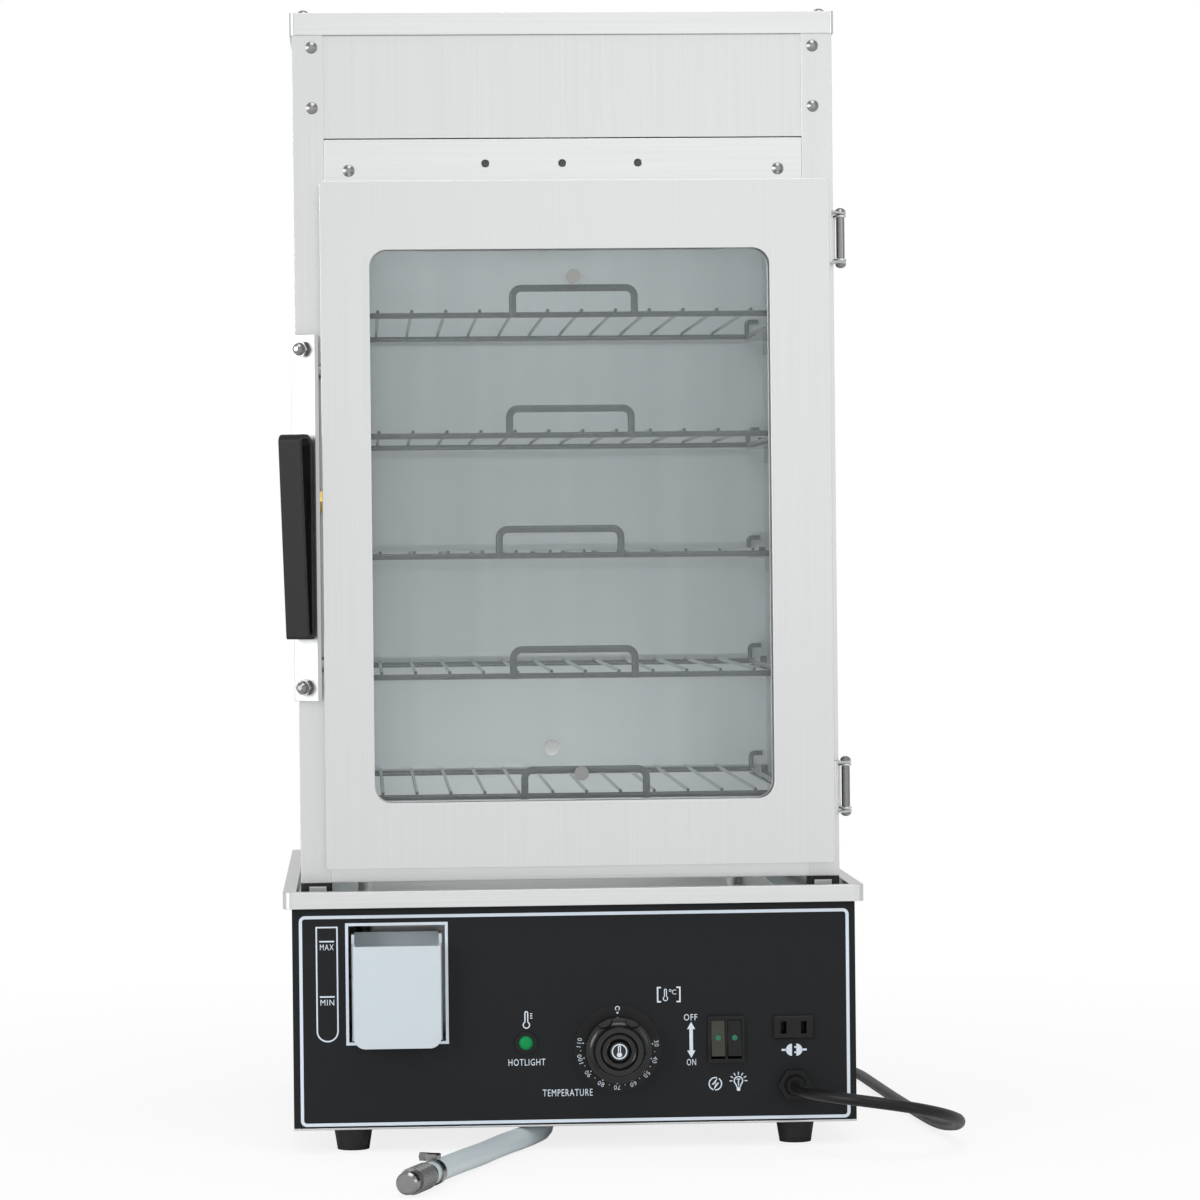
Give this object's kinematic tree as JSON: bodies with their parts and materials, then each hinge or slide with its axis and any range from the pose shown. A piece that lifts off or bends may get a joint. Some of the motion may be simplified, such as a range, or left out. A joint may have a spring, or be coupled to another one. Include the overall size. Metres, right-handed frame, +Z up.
{
  "type": "bun steamer",
  "caption": "Tall counter-top bun steamer: glass-door cabinet with wire racks on a heated water base with filler cup, thermostat, rockers, outlet and drain hose.",
  "frame": {"origin": "on the floor, under the middle of the object without its cord and hose", "axes": "+Z up, the door and controls face -Y, +X to the right seen from the front"},
  "size_m": [0.4674, 0.7914, 0.7894],
  "materials": {
    "stainless": "brushed",
    "bright_wire": "polished",
    "fastener_steel": "polished",
    "panel_black": "fine textured paint",
    "dark_plastic": "moulded",
    "white_plastic": "moulded",
    "pane_glass": "clear",
    "black_rubber": "matt",
    "seal_rubber": "matt",
    "clear_hose": "satin",
    "brass_fitting": "turned",
    "lamp_green": "translucent",
    "lamp_glass": "clear",
    "ceramic": "glazed"
  },
  "bodies": {
    "base": {"front_panel": "panel_black", "base_shell": "stainless", "bottom_plate": "stainless", "rubber_feet": "black_rubber", "tank_tray": "stainless", "heating_element": "stainless", "float_stem": "fastener_steel", "filler_cup": "white_plastic", "drain_elbow": "brass_fitting", "drain_hose": "clear_hose", "hose_plug": "fastener_steel", "hose_clamp": "fastener_steel", "thermostat_body": "dark_plastic", "dial_plate": "dark_plastic", "indicator_bezel": "dark_plastic", "indicator_lens": "lamp_green", "rocker_housing": "dark_plastic", "outlet_socket": "dark_plastic", "cable_gland": "dark_plastic", "power_cord": "black_rubber", "cord_coil": "black_rubber", "power_plug": "black_rubber", "corner_posts": "stainless", "cabinet_wrap": "stainless", "cavity_liner": "stainless", "rear_plug": "fastener_steel", "ceiling_plate": "stainless", "lamp_holder": "ceramic", "lamp_bulb": "lamp_glass", "upper_fascia": "stainless", "vent_strip": "stainless", "door_sill": "stainless", "top_cover": "stainless", "dome_screws": "fastener_steel", "cabinet_pads": "black_rubber", "rack_runners": "stainless", "hinge_brackets_cabinet": "stainless", "hinge_pins": "fastener_steel", "latch_keeper": "stainless"},
    "door": {"door_frame": "stainless", "glass_panes": "pane_glass", "door_inner_cover": "stainless", "pane_spacer": "seal_rubber", "door_gasket": "seal_rubber", "glass_plugs": "fastener_steel", "hinge_brackets_door": "stainless", "latch_plate": "stainless", "brass_nut": "brass_fitting", "dome_nuts": "fastener_steel"},
    "latch": {"latch_handle": "dark_plastic", "latch_spindle": "fastener_steel"},
    "knob": {"thermostat_knob": "dark_plastic"},
    "power_rocker": {"rocker_power": "dark_plastic"},
    "light_rocker": {"rocker_light": "dark_plastic"},
    "float": {"float_ball": "white_plastic"},
    "rack1": {"rack_1": "bright_wire"},
    "rack2": {"rack_2": "bright_wire"},
    "rack3": {"rack_3": "bright_wire"},
    "rack4": {"rack_4": "bright_wire"},
    "rack5": {"rack_5": "bright_wire"}
  },
  "joints": [
    {"name": "door_swing", "type": "hinge", "parent": "base", "child": "door", "pos_m": [0.193, -0.1664, 0.43], "axis": [0, 0, 1], "range_deg": [0, 175]},
    {"name": "latch_turn", "type": "hinge", "parent": "door", "child": "latch", "pos_m": [-0.18256, -0.18423, 0.448], "axis": [0.454, 0.891, 0], "range_deg": [0, 90]},
    {"name": "thermostat_turn", "type": "hinge", "parent": "base", "child": "knob", "pos_m": [0.029, -0.2064, 0.069], "axis": [0, 1, 0], "range_deg": [0, 270]},
    {"name": "power_press", "type": "hinge", "parent": "base", "child": "power_rocker", "pos_m": [0.0983, -0.2049, 0.0742], "axis": [1, 0, 0], "range_deg": [0, 20]},
    {"name": "light_press", "type": "hinge", "parent": "base", "child": "light_rocker", "pos_m": [0.1097, -0.2049, 0.0742], "axis": [1, 0, 0], "range_deg": [0, 20]},
    {"name": "float_rise", "type": "slide", "parent": "base", "child": "float", "axis": [0, 0, 1], "range_m": [0, 0.025]},
    {"name": "rack1_slide", "type": "slide", "parent": "base", "child": "rack1", "axis": [0, -1, 0], "range_m": [0, 0.14]},
    {"name": "rack2_slide", "type": "slide", "parent": "base", "child": "rack2", "axis": [0, -1, 0], "range_m": [0, 0.14]},
    {"name": "rack3_slide", "type": "slide", "parent": "base", "child": "rack3", "axis": [0, -1, 0], "range_m": [0, 0.14]},
    {"name": "rack4_slide", "type": "slide", "parent": "base", "child": "rack4", "axis": [0, -1, 0], "range_m": [0, 0.14]},
    {"name": "rack5_slide", "type": "slide", "parent": "base", "child": "rack5", "axis": [0, -1, 0], "range_m": [0, 0.14]}
  ],
  "couplings": [
    {"joint": "rack1_slide", "follows": "door_swing", "m_per_rad": 0.045},
    {"joint": "rack2_slide", "follows": "door_swing", "m_per_rad": 0.045},
    {"joint": "rack3_slide", "follows": "door_swing", "m_per_rad": 0.045},
    {"joint": "rack4_slide", "follows": "door_swing", "m_per_rad": 0.045},
    {"joint": "rack5_slide", "follows": "door_swing", "m_per_rad": 0.045}
  ]
}
